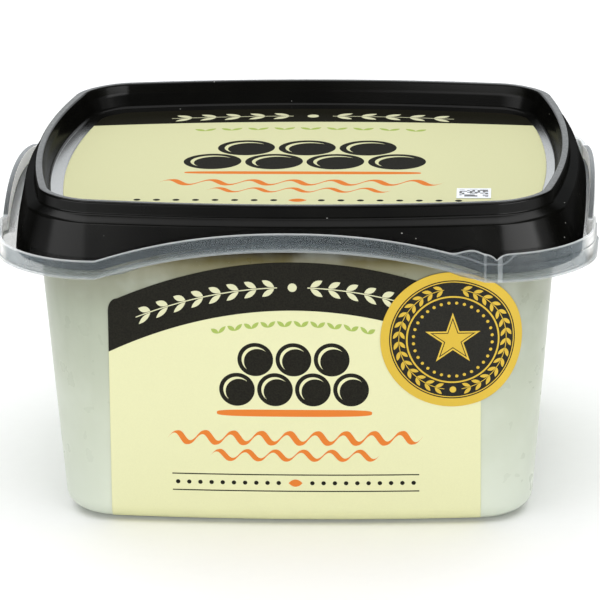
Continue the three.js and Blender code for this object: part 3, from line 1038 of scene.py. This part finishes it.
def front_print():
    ink = Print("front_label_print", Specular_IOR_Level=0.1)
    bent = ink.y + ink.x * ink.x * ARCH_BEND
    outward = abs(ink.x)
    arch = bent > ARCH_INNER_TOP
    over_garland = bent - FRONT_GARLAND_Z
    pale = ink.garland(outward, over_garland, start=3.2, end=33.2, pitch=3.75, leaf=3.0)
    pale = pale | ink.disc((0, FRONT_GARLAND_Z), radius=0.95)
    green = ink.sprouts(ink.x, bent - 46.8, start=-17.5, end=17.5, pitch=3.5, leaf=2.1)
    pile = ink.balls((0, 31.8), radius=3.9)
    board = ink.pill(ink.x, ink.y - 26.4, half_length=16.5, half_height=0.8)
    long_wave = ink.wave(start=-27, end=27, middle=20.6, height=2.3, waves=9, pen=1.5)
    short_wave = ink.wave(start=-18, end=18, middle=16.6, height=2.0, waves=6, pen=1.2)
    over_beads = ink.y - FRONT_BEADS_Z
    beads = ink.beads(
        outward, over_beads, start=2.4, end=FRONT_BEADS_END, pitch=2.4, radius=0.48
    )
    middle_bead = ink.leaf(ink.x, over_beads, length=3.0, width=1.7, angle=0)
    rules = (abs(abs(over_beads) - 1.9) < 0.14) * (outward < FRONT_BEADS_END)
    ink.paper_surface(
        ink.inks(
            CREAM,
            (arch | pile | beads | rules, INK_BLACK),
            (pale, INK_PALE),
            (green, INK_GREEN),
            ((board | long_wave) | (short_wave | middle_bead), INK_ORANGE),
        )
    )
    return ink.material


centre = np.array([0, (LABEL_BOTTOM + LABEL_ARCH_TOP) / 2])
front_label = sheet(
    "front_label_sheet", front_label_edge(), centre, on_front, PAPER_GAP, front_print()
)
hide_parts("front_label")

# ---------------------------------------------------------------------------------------------
# The round sticker: gold foil with a black printed disc, a wreath and a star. Half of it lies
# on the front label, and the rest turns with the corner of the wall.

AWARD_CENTRE = np.array([33.6, 43.1])
AWARD_RADIUS = 15.25
DISC_RADIUS = 0.879
OUTER_RING_RADIUS = 0.855
WREATH_RADIUS = 0.745
INNER_RING_RADIUS = 0.635
BEADS_RADIUS = 0.545
STAR_REACH = 0.4
STAR_HALF_TIP = math.radians(18)


def award_print():
    """Radii are shares of the sticker's own, and turn is the angle from its top."""
    ink = Print("award_print", Specular_IOR_Level=0.1, Coat_Weight=0.2, Coat_Roughness=0.15)
    gold = srgb(212, 180, 66)
    x = (ink.x - AWARD_CENTRE[0]) / AWARD_RADIUS
    y = (ink.y - AWARD_CENTRE[1]) / AWARD_RADIUS
    radius = (x * x + y * y).root()
    turn = ink.node("Math", {"operation": "ARCTAN2"}, [x, y])
    inner_ring = abs(radius - INNER_RING_RADIUS) < 0.012
    outer_ring = abs(radius - OUTER_RING_RADIUS) < 0.007
    rings = inner_ring | outer_ring
    on_wreath = (abs(turn) * WREATH_RADIUS, radius - WREATH_RADIUS)
    wreath = ink.garland(*on_wreath, start=0.12, end=2.22, pitch=0.15, leaf=0.13)
    on_beads = (turn * BEADS_RADIUS, radius - BEADS_RADIUS)
    beads = ink.beads(*on_beads, start=-1.712, end=1.712, pitch=0.107, radius=0.022)
    fifth = 2 * math.pi / 5
    point = abs((turn + fifth / 2) % fifth - fifth / 2)
    star_distance = radius * (point + STAR_HALF_TIP).sine() / math.sin(STAR_HALF_TIP)
    star = star_distance < STAR_REACH
    star_line = star_distance < STAR_REACH - 0.07
    star_core = star_distance < STAR_REACH - 0.11
    knot_place = AWARD_CENTRE - (0, WREATH_RADIUS * AWARD_RADIUS)
    knot = ink.disc(knot_place, radius=0.7)
    colour = ink.inks(
        gold,
        (radius < DISC_RADIUS, INK_BLACK),
        (rings | wreath | beads | star | knot, gold),
        (star_line, INK_BLACK),
        (star_core, gold),
    )
    ink.paper_surface(colour)
    bare_foil = (radius > DISC_RADIUS) | (rings | wreath) | (beads | star_core)
    ink.set("Metallic", bare_foil * 0.6)
    return ink.material


def circle(centre, radius, count=96):
    angle = np.linspace(0, 2 * math.pi, count, endpoint=False)
    return centre + radius * np.column_stack([np.cos(angle), np.sin(angle)])


award = sheet(
    "award_sticker_disc",
    circle(AWARD_CENTRE, AWARD_RADIUS),
    AWARD_CENTRE,
    on_front,
    2 * PAPER_GAP + PAPER,
    award_print(),
)
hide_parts("award_sticker")

# ---------------------------------------------------------------------------------------------
# The studio: a wide pale floor, two low soft lights to the right of the camera and one to its
# left, a broad one overhead and a wide cool one behind.

FLOOR_HALF = 6.0
WORLD_BRIGHTNESS = 0.15


def floor_finish():
    finish = Finish("floor", Roughness=0.85)
    cloth = finish.noise(finish.place(), size=3, detail=3)
    finish.set("Base Color", finish.mix(cloth, srgb(250, 250, 250), srgb(253, 253, 253)))
    return finish.material


floor_corners = np.array([(-1, -1, 0), (1, -1, 0), (1, 1, 0), (-1, 1, 0)]) * FLOOR_HALF
floor_mesh = bpy.data.meshes.new("floor")
floor_mesh.from_pydata(floor_corners.tolist(), [], [(0, 1, 2, 3)])
floor_mesh.materials.append(floor_finish())
floor = bpy.data.objects.new("floor", floor_mesh)
bpy.context.scene.collection.objects.link(floor)
floor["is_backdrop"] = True

LIGHT_TARGET = Vector((0, 0, 0.04))


def softbox(name, azimuth, elevation, distance, width, height, brightness, tint=(1, 1, 1)):
    """A rectangle of even light. Azimuth is counted in degrees from the front, to the right,
    and elevation in degrees above the floor. Sizes are metres."""
    turn = math.radians(azimuth)
    lift = math.radians(elevation)
    flat = math.cos(lift)
    away = Vector((math.sin(turn) * flat, -math.cos(turn) * flat, math.sin(lift)))
    light = bpy.data.lights.new(name, "AREA")
    light.shape = "RECTANGLE"
    light.size = width
    light.size_y = height
    light.energy = brightness * math.pi * width * height
    light.color = tint
    lamp = bpy.data.objects.new(name, light)
    lamp.location = LIGHT_TARGET + away * distance
    lamp.rotation_mode = "QUATERNION"
    lamp.rotation_quaternion = (-away).to_track_quat("-Z", "Y")
    lamp.visible_camera = False
    bpy.context.scene.collection.objects.link(lamp)


softbox(
    "light_right",
    azimuth=46,
    elevation=7,
    distance=1.7,
    width=1.7,
    height=0.4,
    brightness=5.5,
)
softbox(
    "light_far_right",
    azimuth=78,
    elevation=9,
    distance=1.7,
    width=0.9,
    height=0.5,
    brightness=0.7,
)
softbox(
    "light_left",
    azimuth=-44,
    elevation=9,
    distance=1.7,
    width=2.3,
    height=0.6,
    brightness=3.1,
)
softbox(
    "light_above",
    azimuth=0,
    elevation=88,
    distance=1.8,
    width=2.8,
    height=2.8,
    brightness=1.92,
)
softbox(
    "light_behind",
    azimuth=183,
    elevation=18,
    distance=1.9,
    width=3.0,
    height=1.1,
    brightness=2.55,
    tint=(0.94, 0.98, 1.0),
)

world = bpy.data.worlds.new("studio")
world.use_nodes = True
background = world.node_tree.nodes["Background"]
background.inputs["Color"].default_value = (1, 1, 1, 1)
background.inputs["Strength"].default_value = WORLD_BRIGHTNESS
bpy.context.scene.world = world
bpy.context.scene.view_settings.view_transform = "Standard"

# ---------------------------------------------------------------------------------------------
# The visual model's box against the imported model's.

boxes = {"cad": cad_box, "visual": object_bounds()}
{name: [list(corner) for corner in box] for name, box in boxes.items()}
